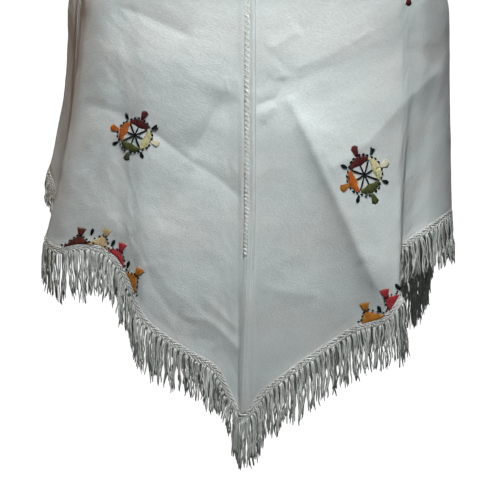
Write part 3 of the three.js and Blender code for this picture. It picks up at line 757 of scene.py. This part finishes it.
# ==== The hem line, which carries the edging and the fringe ====
class HemLine:
    """The hem of one panel, with its directions, by running length. The right-hand one
    begins and ends past the foot of the centre seam."""

    CORNER = 17.0  # over how much the hem turns at a seam
    CROSSING = 7  # points along the foot of a seam

    def __init__(self, cloth):
        self.cloth = cloth
        places = np.linspace(0, cloth.length, int(cloth.length / 2) + 1)
        i = cloth.column_at(places)
        j = np.full(len(i), len(cloth.downs) - 1.0)
        fields = cloth.mid, cloth.along, cloth.fall, cloth.out
        point, along, fall, out = (cloth.sample(field, i, j) for field in fields)
        along, out = unit(along), unit(out)
        down = unit(fall - along * np.sum(fall * along, axis=1, keepdims=True))
        fringe = through_rows(cloth.knots, cloth.rows[:, FRINGE:], places)[:, 0]
        crosses = cloth.sign > 0
        plumb = np.array([0, 0, -TIP_STRETCH])
        faces = [np.array([0, np.sign(point[end, 1]), 0]) for end in (0, -1)]
        for end, face in zip((0, -1), faces):
            corner = unit(down[end] * (1, 0, 1) - (0, 0, 0.2)) if crosses else plumb
            near = smooth(1 - np.abs(places - places[end]) / self.CORNER)[:, None]
            down = down * (1 - near) + corner * near
            out = unit(out * (1 - near) + face * near)
        if crosses:
            share = np.linspace(0, 1, self.CROSSING + 1)[:-1, None]
            for end, face in zip((0, -1), faces):
                under = point[end] - (SEAM_WIDTH + FIT_GAP, 0, TIP_DROP)
                point, down, out = (
                    np.concatenate([fill, field] if end == 0 else [field, fill[::-1]])
                    for fill, field in (
                        (under * (1 - share) + point[end] * share, point),
                        (plumb * (1 - share) + down[end] * share, down),
                        (face + 0 * share, out),
                    )
                )
            fringe = np.pad(fringe, self.CROSSING, mode="edge")
        self.point, self.down, self.out, self.fringe = point, down, out, fringe
        self.run = running_length(point)
        self.length = self.run[-1]

    def at(self, run, reach, proud=0.0):
        """Points at running lengths and distances below the hem, and their outward directions."""
        run, reach, proud = np.broadcast_arrays(run, reach, proud)
        point, down, out = (follow(run, self.run, f) for f in (self.point, self.down, self.out))
        out = unit(out)
        return point + down * reach[..., None] + out * proud[..., None], out


EDGING_TOP, EDGING_FOOT = HEM_GAP + 0.1, HEM_GAP + EDGING_WIDTH - 0.2
EDGING_PITCH = 6.9  # between its stitches
EDGING_SLANT = 1.32  # how far along the hem a stitch goes, in pitches
EDGING_THREAD = 2.5
# How far below the hem the middles of the plait's lengthwise bands are, and their widths
EDGING_BANDS = (
    (EDGING_TOP + 0.2, 5.2),
    (0.5 * (EDGING_TOP + EDGING_FOOT), 5.2),
    (EDGING_FOOT - 2.2, 4.6),
)
# Its two rows of stitches: where they begin and end below the hem, and by what part of the
# pitch they are set on
EDGING_ROWS = (
    (EDGING_TOP + 0.6, EDGING_TOP + 4.7, 0.0),
    (EDGING_FOOT - 1.3, EDGING_FOOT - 4.6, 0.45),
)


def make_edging(line):
    """A flat plait along the hem: a close band under two rows of slanted stitches."""
    yarn = Yarn()
    rng = np.random.default_rng(21)
    run = np.linspace(0.5, line.length - 0.5, int(line.length / 3))
    for reach, wide in EDGING_BANDS:
        path, out = line.at(run, reach)
        yarn.add(path, out, wide, thick=2.4, tones=0.85)
    count = int(line.length / EDGING_PITCH)
    share = np.linspace(0, 1, 6)
    for face in (1, -1):
        for begin, end, shift in EDGING_ROWS:
            start = (np.arange(count) + shift) * EDGING_PITCH + rng.uniform(-0.5, 0.5, count)
            reach = begin + (end - begin) * share[None] + rng.uniform(-0.25, 0.25, (count, 1))
            lift = face * (0.95 + 0.3 * np.sin(math.pi * (0.12 + 0.76 * share)))[None]
            along = start[:, None] + EDGING_SLANT * EDGING_PITCH * share[None]
            path, out = line.at(np.clip(along, 0, line.length), reach, lift)
            wide = EDGING_THREAD * (0.55 + 0.45 * np.sin(math.pi * (0.08 + 0.84 * share)))
            yarn.add(path, out, wide, wide * 0.4, tones=rng.uniform(0.74, 0.94, count))
    return yarn.mesh(f"edging_stitches_{line.cloth.name}", [seam_material])


TUFT_PITCH = 8.6
PLUMB = np.array([0, 0, -1.0])
# The fringe's two layers: strands in a tuft, what part of a tuft they are set aside and
# spread over at the hem, how far out they hang, and their darkest and palest tones. The
# second layer's low tones are painted shade: dark strands set in the gaps behind the pale ones
FRINGE_LAYERS = ((3, 0.0, 0.6, 0.8, 0.6, 1.0), (2, 0.5, 0.8, -0.9, 0.0, 0.5))
STRAND_WIDTH = 1.9
STRAND_ROOT = 1.4  # how far up into the edging a strand begins
STRAND_HELD = 3.0  # how far it leaves the hem by the hem's own direction
STRAND_STRAY = 1.4  # how far each one leans for itself
# How far tufts lean, and how high their waves and each strand's own are: aside, then outward
FRINGE_SWAYS = ((2.5, 1.3, 1.1), (2.0, 1.1, 0.8))
# Strands at the foot of a centre seam, how far from the ends of each line they spread, and
# how far out they stand
BUNCH = 40
BUNCH_REACH = {"left": 8.0, "right": 16.0}
BUNCH_PROUD = {"left": 2.2, "right": 0.0}


def hanging(yarn, line, run, depth, lengths, tuft, rng, tones, slack=1.0):
    """Loose strands that leave the hem by its own direction and soon hang plumb. tuft says
    which strands swing together."""
    many = len(run)
    share = np.linspace(0, 1, 12)[None]
    start, out = line.at(run, HEM_GAP + EDGING_WIDTH - STRAND_ROOT, depth)
    start, out = start[:, None], out[:, None]
    down = unit(follow(run, line.run, line.down))
    fall = share * (lengths + STRAND_ROOT)[:, None]
    held = STRAND_HELD * (1 - np.exp(-fall / STRAND_HELD))[..., None]
    paths = start + down[:, None] * held + PLUMB * (fall[..., None] - held)
    flat_out = unit(out * (1, 1, 0))
    beside = np.cross(flat_out, PLUMB)
    tufts = int(tuft.max()) + 1
    settled = np.minimum(share * 3, 1)
    for way, (lean, tuft_wave, own_wave) in zip((beside, flat_out), FRINGE_SWAYS):
        push = rng.normal(0, lean, tufts)[tuft] + rng.normal(0, STRAND_STRAY, many)
        aside = push[:, None] * share**1.6
        for waves, size, group in ((1.2, tuft_wave, tuft), (2.4, own_wave, np.arange(many))):
            phase = rng.uniform(0, 2 * math.pi, many)[group][:, None]
            swell = rng.uniform(0.2, 1, many)[group][:, None] * size
            wave = np.sin(2 * math.pi * waves * share + phase) - np.sin(phase)
            aside = aside + wave * swell * settled
        paths = paths + way * (slack * aside)[..., None]
    tapered = STRAND_WIDTH * (1 - 0.5 * smooth((share - 0.9) / 0.1))
    wide = tapered * rng.uniform(0.82, 1.15, (many, 1))
    yarn.add(paths, flat_out, wide, wide, tones=tones)


def make_fringe(line):
    """Tufts of loose thread along the hem, uneven in length: pale strands in front, darker ones
    between and behind them whose dark tone is painted shade, and a dense bunch at the foot of
    each centre seam, its inner strands darker as painted shade."""
    yarn = Yarn()
    rng = np.random.default_rng(31 if line.cloth.sign < 0 else 32)
    count = int(line.length / TUFT_PITCH)
    root = (np.arange(count) + 0.5) * line.length / count
    behind = line.at(root, 0.0)[0][:, 1] > 20
    uneven = 1 + rng.normal(0, 0.06, count)
    for strands, shift, close, proud, darkest, palest in FRINGE_LAYERS:
        per_tuft = strands + 3 * behind + rng.integers(0, 2, count)
        tuft = np.repeat(np.arange(count), per_tuft)
        first = per_tuft.cumsum() - per_tuft
        spot = (np.arange(len(tuft)) - first[tuft] + 0.5) / per_tuft[tuft] - 0.5
        run = root[tuft] + (shift + spot * close) * TUFT_PITCH + rng.normal(0, 0.4, len(tuft))
        run = np.clip(run, 0.6, line.length - 0.6)
        share = np.clip(uneven[tuft] * (1 + rng.normal(0, 0.08, len(tuft))), 0.6, 1.16)
        lengths = np.interp(run, line.run, line.fringe) * share
        # the second layer's low tones are painted shade between the pale strands
        tones = rng.uniform(darkest, palest, len(tuft))
        # on the back both layers' tones, painted shade included, are drawn into a narrower middle
        # range
        tones = np.where(behind[tuft], 0.5 + 0.3 * tones, tones)
        depth = proud + rng.uniform(-0.4, 0.4, len(tuft))
        hanging(yarn, line, run, depth, lengths, tuft, rng, tones)
    reach = BUNCH_REACH[line.cloth.name]
    for end in (0.0, line.length):
        run = np.abs(end - rng.uniform(0.8, reach, BUNCH))
        tuft = (np.abs(end - run) / reach * 4.99).astype(int)
        spread = rng.uniform(-2, 2, BUNCH)
        depth = spread + BUNCH_PROUD[line.cloth.name]
        lengths = line.fringe[0] * rng.uniform(0.86, 1.10, BUNCH)
        # strands that hang further in are darker: painted shade inside the bunch
        tones = np.clip(0.45 + 0.14 * spread + rng.normal(0, 0.12, BUNCH), 0, 0.9)
        hanging(yarn, line, run, depth, lengths, tuft, rng, tones, slack=0.6)
    return yarn.mesh(f"fringe_threads_{line.cloth.name}", [fringe_material])


# ==== The centre seams ====
def seam_line(column, rows):
    """The right-hand panel's edge at a seam, from the neck to the hem, its running length,
    which way is out there, and how far in the left-hand panel's edge lies."""
    downs = np.append(np.linspace(0, 1, rows - 1)[:-1], [1 - HEM_RIM, 1])
    i, j = np.full(len(downs), float(column)), right.row_at(downs)
    edge = right.sample(right.mid, i, j)
    way = np.sign(edge[0, 1])
    set_in = (edge - left.sample(left.mid, i, j))[:, 1:2] * way
    return edge, running_length(edge), way, set_in


SEAM_LEFT = -FIT_GAP - SEAM_WIDTH  # from the right-hand panel's edge to the seam's left side
# The strip's columns, from its left side
SEAM_COLUMNS = np.array(
    [-1.2, -0.4, 1.5, 2.8, 3.3, 3.8, 4.4, 5.5, 7, 7.6, 8.4, 9.4, 10, 10.5, 11.2, 12, 12.4, 13.4]
)
ROLL_MIDDLE, ROLL_HALF, ROLL_HIGH = 9.9, 2.5, 2.1  # the rolled edge across the strip
BAND_BEGIN, BAND_END, BAND_HIGH = 3.3, 10.5, 1.3  # and the flat band


def make_seam(name, column, flat_from, flat_over):
    """A narrow strip: a rolled edge beside the joining stitches above, a flat band below. Its
    left side reaches in to the left-hand panel."""
    edge, run, way, set_in = seam_line(column, 220)
    across = SEAM_COLUMNS[None]
    flat = smooth((flat_from - edge[:, 2:3]) / flat_over)
    bulge = 1 - ((across - ROLL_MIDDLE) / ROLL_HALF) ** 2
    roll = 0.6 + ROLL_HIGH * np.sqrt(np.clip(bulge, 0, 1))
    sides = 1.8 * np.minimum(across - BAND_BEGIN, BAND_END - across)
    band = 0.6 + BAND_HIGH * np.clip(sides, 0, 1) ** 0.5
    high = roll * (1 - flat) + band * flat
    reach_in = 1 - smooth((across - across[0, 0]) / 3)
    foot = TIP_DROP * smooth((run - run[-1] + 12) / 12)[:, None]
    x = edge[:, 0:1] + SEAM_LEFT + across
    z = edge[:, 2:3] - foot * (1 - across / SEAM_WIDTH)
    outer, inner = (
        np.stack([x, edge[:, 1:2] + way * (lift - set_in * reach_in), z], axis=2)
        for lift in (0.2 + high, -0.7)
    )
    flat_uv = np.stack(np.broadcast_arrays(across, run[:, None]), axis=-1)
    return closed_sheet(name, outer, inner, flat_uv, cloth_material)


def make_seam_stitches(name, column, until):
    """Joining stitches down the left of a seam: pale slanted strokes over darker ones that
    cross behind them, their darker tone a painted shade, larger near the neck, and thin dark
    strands at the strip's sides that are painted lines of shadow."""
    rng = np.random.default_rng(41)
    yarn = Yarn()
    edge, run, way, _ = seam_line(column, 400)
    last = np.interp(until, -edge[:, 2], run)
    out = np.array([0, way, 0])
    share = np.linspace(0, 1, 7)
    arch = np.sin(math.pi * share)

    def strand(where, across, proud, wide, thick, tone):
        point = follow(where, run, edge)
        point[:, 0] += SEAM_LEFT + across
        point[:, 1] += way * proud
        yarn.add(point, out, wide, thick, tones=tone)

    def stroke(at, begin, end, long, proud, wide, thick, tone):
        across = begin + (end - begin) * share + 0.5 * arch
        wide = wide * (0.7 + 0.3 * arch)
        strand(at + long * (share - 0.5), across, proud + 0.5 * arch, wide, thick, tone)

    strand(np.linspace(1.0, last, 300), across=1.9, proud=0.8, wide=6.0, thick=1.0, tone=0.75)
    at = 3.0
    while at < last:
        size = 1.35 - 0.55 * at / last
        pitch = size * rng.uniform(5.6, 7.4)
        begin, end = -1.2 + rng.uniform(-0.5, 0.5), 4.9 + rng.uniform(-0.5, 0.5)
        # the strokes behind are toned darker: painted shade between the stitches
        back = {"proud": 0.55, "wide": 2.3, "thick": 1.0, "tone": rng.uniform(0.45, 0.75)}
        stroke(at, end, begin, 4.4 * size, **back)
        long = size * rng.uniform(4.6, 7.0)
        front = {"proud": 0.7, "wide": 2.7 * size**0.5, "thick": 1.1}
        stroke(at + pitch / 2, begin, end, long, **front, tone=rng.uniform(0.65, 0.9))
        at += pitch
    # thin dark strands, right of the strip above and left of its band below: painted shadow lines
    # where the strip meets the panels
    for across, top, foot in ((13.6, 1.0, last + 20), (2.7, last + 40, run[-1] - 1)):
        where = np.linspace(top, foot, 240)
        strand(where, across, proud=0.75, wide=0.7, thick=0.4, tone=-0.1)
    return yarn.mesh(name, [seam_material])


# ==== Embroidery: spoked wheels and the half-wheels of the hem ====
RING = 25.0  # reach of a wheel's ring of short stitches, from its centre
INNER = 12.0  # reach of the inner edge of a sector at its middle
TIPS = 18.5  # reach of a sector's two pointed ends
FAN_BASE = RING - 0.6  # reach at which a tulip begins
HEM_REACH = 12.0  # the reach at which a hem design meets the edging
SECTOR_HALF = 42.0  # half of what a sector spans, in degrees
SATIN_STITCHES = 34  # in a sector
STITCH_PROUD = 0.4  # how proud of the cloth's middle the ends of a stitch are
MM_A_DEGREE = 0.36  # along the hem, for a design of size 1


def crescent(share):
    """The outer and inner edges of a wheel's sector, from one tip (-1) to the other (1)."""
    bend = np.abs(share)
    return RING - 1.2 - 2.0 * bend**3, INNER + 0.5 + 5.5 * bend**1.6


def mound(peak):
    """The same for a sector that stands on the hem, its highest part at one place of it."""

    def edges(share):
        bend = np.abs(share - peak) / np.where(share < peak, 1 + peak, 1 - peak)
        return HEM_REACH + 11.5 * (1 - bend**1.35), HEM_REACH - 1.0 + 0 * bend

    return edges


def pairs(begins, ends):
    """Where each stitch begins and ends, one row for each."""
    return np.stack(np.broadcast_arrays(begins, ends), axis=1)


class Wheel:
    """Stitches laid out round a centre on the front: turn in degrees, reach from the centre."""

    def __init__(self, cloth, yarn, rng, x, z, stretch=(1.0, 1.0)):
        self.cloth, self.yarn, self.rng = cloth, yarn, rng
        self.x, self.z, self.stretch = x, z, stretch

    def front_place(self, turn, reach):
        """Where a turn and a reach fall in the front's upright plane."""
        angle = np.radians(turn)
        x = self.x + self.stretch[0] * reach * np.cos(angle)
        return x, self.z + self.stretch[1] * reach * np.sin(angle)

    def bud_layout(self, x, z, angle, base):
        """A layout in which what begins at `base` begins at x, z and points at an angle."""
        turn = math.radians(angle)
        corner = x - base * math.cos(turn), z - base * math.sin(turn)
        return Wheel(self.cloth, self.yarn, self.rng, *corner)

    def stitches(self, turns, reaches, paint, wide, thick, most=1.0, rings=6):
        """Stitches between pairs of ends, each bedded at its ends and proud in the middle."""
        turns, reaches = np.broadcast_arrays(turns, reaches)
        share = np.linspace(0, 1, rings)
        turn, reach = (
            ends[:, :1] * (1 - share) + ends[:, 1:] * share for ends in (turns, reaches)
        )
        arch = np.sin(math.pi * (0.04 + 0.92 * share))
        proud = np.broadcast_to(STITCH_PROUD + most * arch**0.6, turn.shape)
        path, out = self.cloth.on_front(*self.front_place(turn, reach), proud)
        size = wide * (0.5 + 0.5 * arch**0.5)
        tones = self.rng.uniform(0.25, 0.85, len(turns))
        self.yarn.add(path, out, size, np.minimum(size, thick), PAINTS[paint], tones)

    def sector(self, middle, paint, edges=crescent, wide=1.5):
        """A crescent of satin stitches, thick in the middle with a pointed tip at each end."""
        share = np.linspace(-1, 1, SATIN_STITCHES)
        outer, inner = edges(share)
        turns = pairs(middle + share * SECTOR_HALF * 0.94, middle + share * SECTOR_HALF)
        turns = turns + self.rng.uniform(-1.2, 1.2, (len(share), 1)) + (-2.5, 2.5)
        reaches = pairs(inner, outer) + self.rng.uniform(-0.5, 0.5, turns.shape)
        self.stitches(turns, reaches, paint, wide, thick=1.0)

    def fan_bud(self, turn, paint, spread=7.5, dip=2.4):
        """A small tulip outside the ring, flaring to an end that dips towards its sides."""
        share = np.linspace(-1, 1, 9)
        notch = 0.8 * np.abs(np.sin(share * math.pi * 1.5)) - 0.5
        turns = pairs(turn + share * 2.4, turn + share * spread)
        ends = FAN_BASE + 13.5 - dip * share**2 + notch
        self.stitches(turns, pairs(FAN_BASE, ends), paint, wide=1.7, thick=1.2, most=1.2)

    def dark_bud(self, turn, base=RING + 0.6, forked=False):
        """A small dark teardrop outside the ring."""
        share = np.linspace(-1, 1, 5)
        notch = 1.8 * np.abs(np.abs(share) - 0.7) if forked else 2.6 * share**2
        turns = pairs(turn + share * 0.9, turn + share * (5.0 if forked else 3.6))
        reaches = pairs(base, base + 9.6 - notch)
        self.stitches(turns, reaches, "navy", wide=1.9, thick=1.5, most=1.3)

    def dashes(self, turns, reach, long=7.0, wide=2.5):
        """Short dark running stitches side by side along a ring."""
        turns = turns + self.rng.uniform(-0.8, 0.8, len(turns))
        reaches = reach[:, None] + self.rng.uniform(-0.5, 0.5, (len(turns), 2))
        ends = pairs(turns - long / 2, turns + long / 2)
        self.stitches(ends, reaches, "navy", wide, thick=1.8, most=1.3)

    def spokes(self, turns, reach):
        """Straight dark stitches from the centre, two side by side."""
        for skew in (-1.05, 1.05):
            ends = pairs(turns, turns + skew)
            self.stitches(ends, [[0.4, reach]], "navy", wide=2.2, thick=1.5, most=1.2, rings=8)

    def whole(self, first, colours):
        """Four sectors round a centre of eight spokes, with a bud outside each and each gap."""
        turns = np.array([-37, -24, -11, 11, 24, 37])
        reach = np.maximum(crescent(turns / SECTOR_HALF)[0] + 1.5, TIPS + 2.5)
        for k, (fill, bud) in enumerate(colours):
            middle = first + 90 * k
            self.sector(middle, fill)
            self.fan_bud(middle + self.rng.uniform(-4, 4), bud)
            self.dark_bud(middle - 45 + self.rng.uniform(-3, 3), forked=k == 0)
            self.dashes(middle + turns, reach)
        for turn, reach in ((45, TIPS + 0.5), (0, INNER + 0.4)):
            self.spokes(first + turn + 90 * np.arange(4), reach)


class HemArc(Wheel):
    """The same, laid out on the hem: turn is along it, reach is square away from it."""

    def __init__(self, cloth, yarn, rng, along, size, tall):
        self.cloth, self.yarn, self.rng = cloth, yarn, rng
        self.along, self.size, self.tall = along, size, tall
        (x0, _, z0), (x1, _, z1) = self.hem(np.array([along - 8, along + 8]))
        away = np.array([z1 - z0, x0 - x1])
        self.away = away / np.hypot(*away) * np.sign(away[1])

    def hem(self, along):
        i = self.cloth.column_at(along)
        return self.cloth.sample(self.cloth.mid, i, np.full(np.shape(i), np.inf))

    def front_place(self, turn, reach):
        foot = self.hem(self.along - self.cloth.sign * turn * MM_A_DEGREE * self.size)
        up = np.maximum((reach - HEM_REACH) * self.tall, 0.3)
        return foot[..., 0] + self.away[0] * up, foot[..., 2] + self.away[1] * up

    def half(self, peak, fill, bud_angle):
        """One sector on the hem, with its bud and its short stitches."""
        edges = mound(peak)
        self.sector(0, fill, edges, wide=1.9 * self.size)
        x, z = self.front_place(peak * SECTOR_HALF, HEM_REACH + 10.5)
        bud = self.bud_layout(x, z, bud_angle, FAN_BASE)
        bud.fan_bud(bud_angle, fill, spread=9.5, dip=0.4)
        share = np.array([-1.25, -0.95, -0.65, -0.38, -0.14, 0.14, 0.38, 0.65, 0.95, 1.25])
        share = share + peak * np.clip(1 - np.abs(share), 0, 1)
        reach = edges(np.clip(share, -1, 1))[0] + 2.4
        self.dashes(share * SECTOR_HALF, reach, long=6.0, wide=2.3)


# fill and bud of each sector of a wheel
WHEEL_COLOURS = {
    "left": (("maroon", "maroon"), ("orange", "orange"), ("olive", "moss"), ("straw", "cream")),
    "right": (("maroon", "maroon"), ("orange", "amber"), ("olive", "olive"), ("straw", "cream")),
}
# x, z of the centre, half width, half height and turn of the first sector
WHEELS = {
    "left": ((-154, -395, 24.0, 24.0, 66), (-176, -172, 24.0, 22.0, 75)),
    "right": ((159, -451, 24.5, 28.5, 118), (219, -178, 22.0, 24.0, 275)),
}
# along the hem from the front seam, how much wider and taller, where the peak is from one
# end (-1) to the other (1), colour, angle of the bud
HEM_SECTORS = {
    "left": (
        (239, 1.0, 0.95, 0.35, "amber", 55),
        (280, 1.15, 0.85, 0.1, "red", 70),
        (310, 1.05, 1.2, -0.3, "tan", 72),
        (341, 1.25, 0.95, -0.25, "brown", 78),
    ),
    "right": ((212, 1.15, 1.25, 0.35, "amber", 105), (251, 0.85, 1.1, 0.1, "red", 104)),
}
# x, z and angle of the dark buds between them
HEM_BUDS = {
    "left": ((-215, -532, 75), (-187, -547, 60), (-164, -577, 75)),
    "right": ((180, -636, 115), (203, -606, 120)),
}


def make_embroidery(cloth):
    """All the wheels, half-wheels and buds of one panel's front."""
    rng = np.random.default_rng(51 if cloth.sign < 0 else 52)
    yarn = Yarn()
    kit = cloth, yarn, rng
    for x, z, wide, tall, first in WHEELS[cloth.name]:
        stretch = wide / RING, tall / RING
        Wheel(*kit, x, z, stretch).whole(first, WHEEL_COLOURS[cloth.name])
    for *shape, peak, fill, bud_angle in HEM_SECTORS[cloth.name]:
        HemArc(*kit, *shape).half(peak, fill, bud_angle)
    for x, z, angle in HEM_BUDS[cloth.name]:
        Wheel(*kit, 0, 0).bud_layout(x, z, angle, RING).dark_bud(angle, RING)
    return yarn.mesh(f"embroidery_{cloth.name}", embroidery_materials)


NECK_PITCH = 7.0  # between the stitches at the neck
NECK_SLANT = 8.0  # how far along the neck each goes


def make_neck_stitches(cloth):
    """Small slanted stitches that hold the turned edge at the neck."""
    rng = np.random.default_rng(61)
    yarn = Yarn()
    run = running_length(cloth.mid[:, 0])
    count = int(run[-1] / NECK_PITCH)
    place = np.interp((np.arange(count) + 0.5) / count, run / run[-1], cloth.places)
    share = np.linspace(0, 1, 6)
    from_neck = 1.0 + (HEM_ROLL + 0.4) * share[None] + rng.uniform(-0.3, 0.3, (count, 1))
    along = place[:, None] + NECK_SLANT * (share[None] - 0.5)
    reach = np.interp(along, cloth.places, cloth.fall_length)
    lift = 1.15 + 0.55 * np.sin(math.pi * share) - 0.5 * share**4
    i, j = cloth.column_at(along), cloth.row_at(from_neck / reach)
    path, out = cloth.lifted(i, j, np.broadcast_to(lift, i.shape))
    yarn.add(path, out, wide=1.2, thick=1.0, tones=rng.uniform(0.5, 0.9, count))
    return yarn.mesh(f"neck_stitches_{cloth.name}", [seam_material])


# ==== The pieces, each attached to the body, hiding any CAD parts it stands in for ====
def place_piece(obj, slot, *nodes):
    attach(obj, "root")
    if nodes:
        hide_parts(*nodes)
    return obj


for cloth in (left, right):
    hem = HemLine(cloth)
    panel = place_piece(make_panel(cloth), "cloth", f"panel_{cloth.name}")
    edging = place_piece(make_edging(hem), "seam_thread", f"edging_{cloth.name}")
    fringe = place_piece(make_fringe(hem), "fringe_thread", f"fringe_{cloth.name}")
    neck = place_piece(make_neck_stitches(cloth), "seam_thread")
    embroidery = place_piece(make_embroidery(cloth), None)

BACK = len(right.places) - 1
band = make_seam("seam_band_front", 0, flat_from=-470, flat_over=90)
place_piece(band, "cloth", "seam_front")
place_piece(make_seam_stitches("seam_stitches_front", 0, until=560), "seam_thread")
band = make_seam("seam_band_back", BACK, flat_from=-900, flat_over=90)
place_piece(band, "cloth", "seam_back")
place_piece(make_seam_stitches("seam_stitches_back", BACK, until=735), "seam_thread")


# ==== Studio ====
FLOOR_LEVEL = -1.42
STUDIO_PAINT = (0.86, 0.86, 0.86)
STUDIO_GLOW = 1.05


def make_studio():
    """A pale floor that runs up into a round wall on all sides."""
    bend, rim, sides = 1.6, 7.0, 72
    turn = np.linspace(0, math.pi / 2, 12)
    reach = np.concatenate([[0.02, 1.5, 3.5], rim - bend + bend * np.sin(turn), [rim, rim]])
    level = np.concatenate([[0, 0, 0], bend - bend * np.cos(turn), [4.0, 9.0]]) + FLOOR_LEVEL
    round_ = np.linspace(0, 2 * math.pi, sides, endpoint=False)[:, None]
    grid = [reach * np.cos(round_), reach * np.sin(round_), level + 0 * round_]
    points = np.stack(grid, axis=-1).reshape(-1, 3)
    index = np.arange(sides * len(reach)).reshape(sides, len(reach))
    after = np.roll(index, -1, axis=0)
    quads = np.stack([index[:, :-1], index[:, 1:], after[:, 1:], after[:, :-1]], axis=-1)
    uv = points[quads.ravel(), :2]
    paint = studio_material("studio_paint", STUDIO_PAINT, STUDIO_GLOW)
    obj = build_mesh("studio_floor", points / MM, quads, [], uv, [paint])
    obj.visible_diffuse = False
    obj.visible_glossy = False
    obj.visible_shadow = False
    obj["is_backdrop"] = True


def area_light(name, place, target, size, power, colour=(1, 1, 1), spread=180):
    """A round lamp that faces a target, unseen by the camera."""
    light = bpy.data.lights.new(name, "AREA")
    light.spread = math.radians(spread)
    light.shape = "DISK"
    light.size = size
    light.energy = power
    light.color = colour
    obj = bpy.data.objects.new(name, light)
    obj.location = place
    away = np.array(place) - np.array(target)
    flat = math.hypot(away[0], away[1])
    obj.rotation_euler = (math.atan2(flat, away[2]), 0, math.atan2(away[0], -away[1]))
    obj.visible_camera = False
    bpy.context.scene.collection.objects.link(obj)


make_studio()
area_light("key", (0.12, -0.80, 0.78), (0.03, -0.13, -0.465), size=0.25, power=2.0, spread=50)
area_light("fill", (0.3, -2.6, -0.8), (0, 0, -0.5), size=1.6, power=4.0)
area_light("lift", (0.35, -0.9, 0.5), (-0.22, -0.12, -0.2), size=0.3, power=0.08, spread=24)
side = {"size": 0.8, "power": 0.44, "colour": (1.0, 0.48, 0.22), "spread": 44}
area_light("side", (-2.0, 0.3, 0.1), (-0.28, 0, -0.12), **side)
rear = {"size": 1.4, "power": 34, "colour": (1.0, 0.96, 0.92)}
area_light("rear", (0.6, 2.2, 0.5), (0, 0.1, -0.4), **rear)

world = bpy.data.worlds.new("studio")
world.use_nodes = True
background = world.node_tree.nodes["Background"].inputs
background["Color"].default_value = (0.95, 0.97, 1.0, 1)
background["Strength"].default_value = 0.035
bpy.context.scene.world = world

camera_data = bpy.data.cameras.new("camera")
camera_data.sensor_width = 36
camera_data.lens = 80
camera = bpy.data.objects.new("camera", camera_data)
camera.location = (0.004, -1.638, -0.5525)
camera.rotation_euler = (math.pi / 2, 0, 0)
bpy.context.scene.collection.objects.link(camera)
bpy.context.scene.camera = camera
bpy.context.scene.view_settings.view_transform = "Standard"

boxes = {"cad": CAD_BOX, "visual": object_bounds()}
{name: [list(corner) for corner in box] for name, box in boxes.items()}
